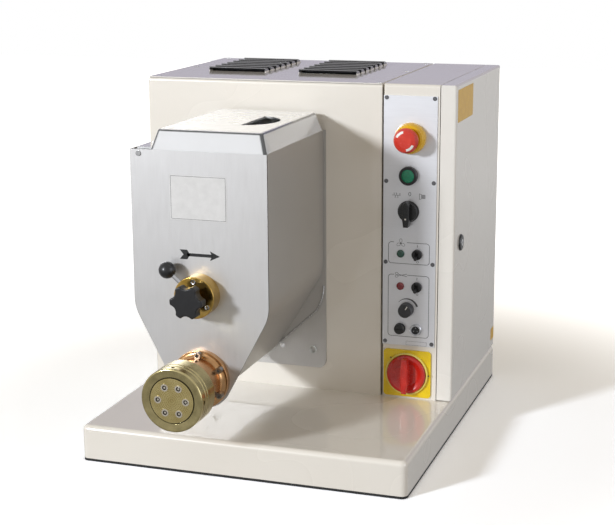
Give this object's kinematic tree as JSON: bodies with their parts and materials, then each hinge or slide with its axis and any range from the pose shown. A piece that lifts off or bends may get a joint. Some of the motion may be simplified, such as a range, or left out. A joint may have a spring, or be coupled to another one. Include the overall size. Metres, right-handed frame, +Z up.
{
  "type": "pasta extruder",
  "caption": "Table-top pasta extruder: kneading hopper with clear hinged lid and bronze extruder barrel before a sheet-metal cabinet with a side control panel.",
  "frame": {"origin": "the middle of the overall box, on the surface the machine stands on", "axes": "+X to the operator's right, +Y from the nozzle to the cabinet's back, +Z up"},
  "size_m": [0.5336, 0.738, 0.585],
  "materials": {
    "enamel_cream": "gloss cream enamel",
    "rubber_black": "matt black edging",
    "steel_zinc": "zinc plated",
    "chrome_lock": "polished",
    "chrome_plug": "polished",
    "steel_front": "fine vertical brushing",
    "steel_trough": "satin",
    "steel_back": "satin",
    "rubber_seal": "matt",
    "clear_plastic": "clear moulded plastic",
    "steel_rod": "turned",
    "brass_bearing": "turned",
    "plastic_black": "moulded black",
    "plastic_ball": "polished black",
    "steel_shaft": "turned",
    "bronze_barrel": "turned bronze",
    "steel_bolts": "socket heads",
    "bronze_auger": "turned bronze",
    "bronze_die": "turned bronze",
    "bronze_inserts": "turned",
    "brass_nut": "turned olive brass",
    "steel_gear": "cut teeth",
    "iron_case": "primed casting",
    "steel_races": "ground",
    "motor_grey": "grey paint",
    "steel_panel": "fine horizontal brushing",
    "plastic_yellow": "moulded yellow",
    "plastic_red": "moulded red",
    "plastic_bezel": "moulded black",
    "lens_green": "moulded green",
    "plastic_knob": "moulded black",
    "lamp_green_glass": "moulded green",
    "lamp_red_glass": "moulded red",
    "chrome_bush": "polished",
    "chrome_lever": "polished",
    "plastic_speed": "moulded dark grey",
    "plastic_fuse": "moulded black",
    "chrome_socket": "polished",
    "plastic_plate": "moulded yellow",
    "plastic_dial": "moulded red",
    "plastic_box": "moulded dark grey",
    "plastic_grey": "moulded grey",
    "plastic_beige": "moulded beige",
    "steel_core": "stacked sheet",
    "plastic_gland": "moulded black"
  },
  "bodies": {
    "machine": {"base_tray": "enamel_cream", "base_edging": "rubber_black", "main_housing": "enamel_cream", "top_cover": "enamel_cream", "rear_cover": "enamel_cream", "control_column": "enamel_cream", "hinge_leaves": "steel_zinc", "hopper_front_plate": "steel_front", "hopper_trough": "steel_trough", "hopper_back_plate": "steel_back", "shaft_seals": "rubber_seal", "lid_rod": "steel_rod", "mixer_bearing": "brass_bearing", "barrel": "bronze_barrel", "barrel_bolts": "steel_bolts", "gear_case": "iron_case", "gear_cover": "iron_case", "bearings": "steel_races", "motor": "motor_grey", "control_panel": "steel_panel", "stop_collar": "plastic_yellow", "start_bezel": "plastic_bezel", "selector_base": "plastic_black", "lamp_green": "lamp_green_glass", "lamp_red": "lamp_red_glass", "toggle_bushes": "chrome_bush", "fuse_holder": "plastic_black", "accessory_socket": "chrome_socket", "switch_plate": "plastic_plate", "switch_box": "plastic_box", "equipment_tray": "steel_zinc", "contactors": "plastic_grey", "terminal_block": "plastic_beige", "transformer": "steel_core", "cable_gland": "plastic_gland"},
    "door": {"side_door": "enamel_cream", "hinge_straps": "steel_zinc", "lock_case": "chrome_lock"},
    "door_key_plug": {"lock_plug": "chrome_plug"},
    "hopper_lid": {"lid": "clear_plastic"},
    "mixer": {"mixer_shaft": "steel_shaft", "gear_mixer": "steel_gear"},
    "screw": {"auger": "bronze_auger", "gear_auger": "steel_gear"},
    "drive": {"pinion": "steel_gear", "pinion_shaft": "steel_shaft"},
    "die": {"die_plate": "bronze_die", "die_inserts": "bronze_inserts"},
    "nut": {"ring_nut": "brass_nut"},
    "shaft_pin": {"star_knob": "plastic_black"},
    "pull": {"pull_pin": "plastic_ball"},
    "stop_mushroom": {"stop_head": "plastic_red"},
    "start_key": {"start_button": "lens_green"},
    "selector": {"selector_knob": "plastic_knob"},
    "lever_upper": {"toggle_upper": "chrome_lever"},
    "lever_lower": {"toggle_lower": "chrome_lever"},
    "speed_dial": {"speed_knob": "plastic_speed"},
    "fuse_plug": {"fuse_cap": "plastic_fuse"},
    "main_dial": {"switch_handle": "plastic_dial"}
  },
  "joints": [
    {"name": "lid_hinge", "type": "hinge", "parent": "machine", "child": "hopper_lid", "pos_m": [-0.15925, -0.1193, 0.4937], "axis": [0, -1, 0], "range_deg": [0, 100]},
    {"name": "mixer_turn", "type": "hinge", "parent": "machine", "child": "mixer", "pos_m": [-0.06425, -0.1193, 0.2835], "axis": [0, 1, 0], "continuous": true},
    {"name": "auger_turn", "type": "hinge", "parent": "machine", "child": "screw", "pos_m": [-0.06425, -0.1193, 0.1515], "axis": [0, 1, 0], "continuous": true},
    {"name": "pinion_turn", "type": "hinge", "parent": "machine", "child": "drive", "pos_m": [-0.06425, 0.0407, 0.3795], "axis": [0, 1, 0], "continuous": true},
    {"name": "ring_nut_turn", "type": "hinge", "parent": "die", "child": "nut", "pos_m": [-0.06425, -0.3493, 0.1515], "axis": [0, -1, 0], "range_deg": [0, 1080]},
    {"name": "star_knob_turn", "type": "hinge", "parent": "machine", "child": "shaft_pin", "pos_m": [-0.06425, -0.2993, 0.2835], "axis": [0, -1, 0], "range_deg": [0, 720]},
    {"name": "pull_pin_slide", "type": "slide", "parent": "machine", "child": "pull", "axis": [-0.7547, 0, 0.6561], "range_m": [0, 0.008], "stiffness_N_per_m": 500},
    {"name": "stop_push", "type": "slide", "parent": "machine", "child": "stop_mushroom", "axis": [0, 1, 0], "range_m": [0, 0.005]},
    {"name": "start_push", "type": "slide", "parent": "machine", "child": "start_key", "axis": [0, 1, 0], "range_m": [0, 0.003], "stiffness_N_per_m": 800},
    {"name": "selector_turn", "type": "hinge", "parent": "machine", "child": "selector", "pos_m": [0.18745, 0.0007, 0.3737], "axis": [0, 1, 0], "range_deg": [-45, 45]},
    {"name": "toggle_upper_flick", "type": "hinge", "parent": "machine", "child": "lever_upper", "pos_m": [0.20275, 0.0132, 0.3033], "axis": [-1, 0, 0], "range_deg": [0, 50]},
    {"name": "toggle_lower_flick", "type": "hinge", "parent": "machine", "child": "lever_lower", "pos_m": [0.20275, 0.0132, 0.249], "axis": [-1, 0, 0], "range_deg": [0, 50]},
    {"name": "speed_knob_turn", "type": "hinge", "parent": "machine", "child": "speed_dial", "pos_m": [0.18605, 0.0057, 0.2104], "axis": [0, 1, 0], "range_deg": [-180, 120]},
    {"name": "fuse_cap_turn", "type": "hinge", "parent": "machine", "child": "fuse_plug", "pos_m": [0.17525, 0.0107, 0.1774], "axis": [0, -1, 0], "range_deg": [0, 90]},
    {"name": "main_switch_turn", "type": "hinge", "parent": "machine", "child": "main_dial", "pos_m": [0.18805, 0.0107, 0.1012], "axis": [0, 1, 0], "range_deg": [0, 90]},
    {"name": "door_hinge", "type": "hinge", "parent": "machine", "child": "door", "pos_m": [0.23725, 0.3646, 0.318], "axis": [0, 0, 1], "range_deg": [0, 110]},
    {"name": "door_lock_turn", "type": "hinge", "parent": "door", "child": "door_key_plug", "pos_m": [0.26325, 0.0617, 0.318], "axis": [1, 0, 0], "range_deg": [0, 90]},
    {"name": "die_slide", "type": "slide", "parent": "machine", "child": "die", "axis": [0, -1, 0], "range_m": [0, 0.006]}
  ],
  "couplings": [
    {"joint": "auger_turn", "follows": "mixer_turn", "ratio": -1},
    {"joint": "pinion_turn", "follows": "mixer_turn", "ratio": -2.2},
    {"joint": "die_slide", "follows": "ring_nut_turn", "m_per_rad": 0.0003183}
  ]
}
